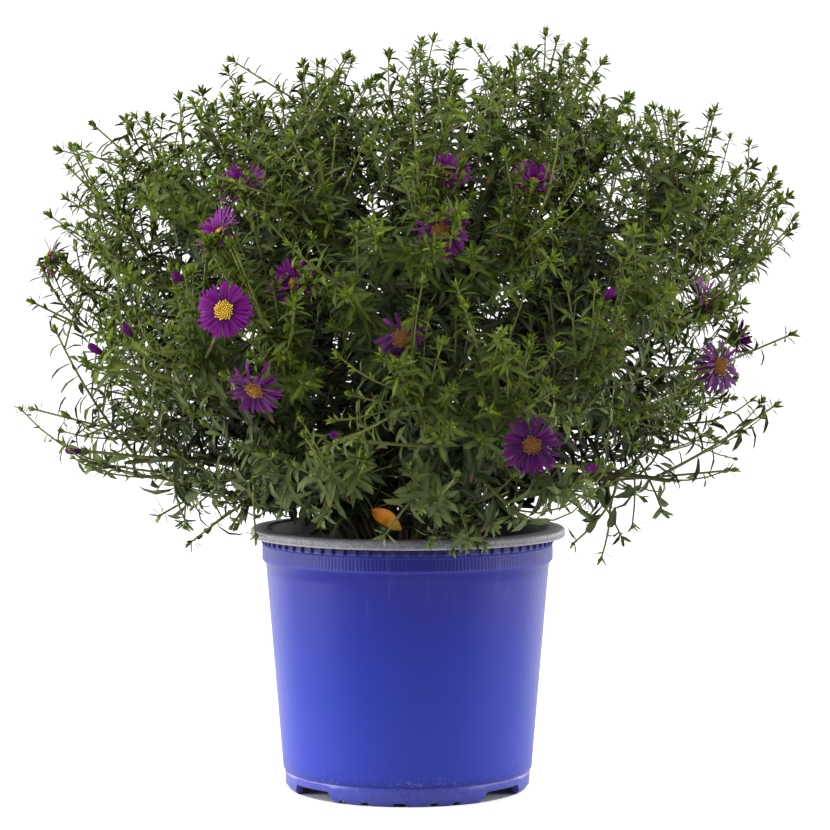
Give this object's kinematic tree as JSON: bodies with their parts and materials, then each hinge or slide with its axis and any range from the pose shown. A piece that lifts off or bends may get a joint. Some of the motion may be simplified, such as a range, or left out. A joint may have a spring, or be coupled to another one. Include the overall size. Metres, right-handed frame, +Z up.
{
  "type": "potted aster",
  "caption": "Bushy aster with violet daisy-like blooms, in a round tapered blue nursery pot with a pale grey lip.",
  "frame": {"origin": "under the middle of the pot, on the plane that its foot rests on, within 4 mm of the middle of the whole plant's box", "axes": "+Z up, and -Y towards the side of the plant that the picture shows"},
  "size_m": [0.474, 0.474, 0.4575],
  "materials": {
    "blue_plastic": "satin",
    "grey_plastic": "matte",
    "soil": "rough",
    "aster_green": "matte",
    "violet_rays": "matte",
    "gold_disc": "matte",
    "withered_yellow": "matte"
  },
  "bodies": {
    "root": {"pot": "blue_plastic", "pot_lip": "grey_plastic", "soil": "soil", "withered_leaf": "withered_yellow", "leafy_stem_01": "aster_green", "leafy_stem_02": "aster_green", "leafy_stem_03": "aster_green", "leafy_stem_04": "aster_green", "leafy_stem_05": "aster_green", "leafy_stem_06": "aster_green", "leafy_stem_07": "aster_green", "leafy_stem_08": "aster_green", "leafy_stem_09": "aster_green", "leafy_stem_10": "aster_green", "leafy_stem_11": "aster_green", "leafy_stem_12": "aster_green", "leafy_stem_13": "aster_green", "leafy_stem_14": "aster_green", "leafy_stem_15": "aster_green", "leafy_stem_16": "aster_green", "leafy_stem_17": "aster_green", "leafy_stem_18": "aster_green", "leafy_stem_19": "aster_green", "leafy_stem_20": "aster_green", "bloom_01_rays": "violet_rays", "bloom_02_rays": "violet_rays", "bloom_03_rays": "violet_rays", "bloom_04_rays": "violet_rays", "bloom_05_rays": "violet_rays", "bloom_06_rays": "violet_rays", "bloom_07_rays": "violet_rays", "bloom_08_rays": "violet_rays", "bloom_09_rays": "violet_rays", "bloom_10_rays": "violet_rays", "bloom_11_rays": "violet_rays", "bloom_12_rays": "violet_rays", "bloom_13_rays": "violet_rays", "bloom_14_rays": "violet_rays", "bloom_15_rays": "violet_rays", "bloom_16_rays": "violet_rays", "bloom_17_rays": "violet_rays", "bud_01": "violet_rays", "bud_02": "violet_rays", "bud_03": "violet_rays", "bud_04": "violet_rays", "bud_05": "violet_rays", "bud_06": "violet_rays", "bud_07": "violet_rays", "bud_08": "violet_rays", "bloom_01_disc": "gold_disc", "bloom_02_disc": "gold_disc", "bloom_03_disc": "gold_disc", "bloom_04_disc": "gold_disc", "bloom_05_disc": "gold_disc", "bloom_06_disc": "gold_disc", "bloom_07_disc": "gold_disc", "bloom_08_disc": "gold_disc", "bloom_09_disc": "gold_disc", "bloom_10_disc": "gold_disc"}
  },
  "joints": []
}
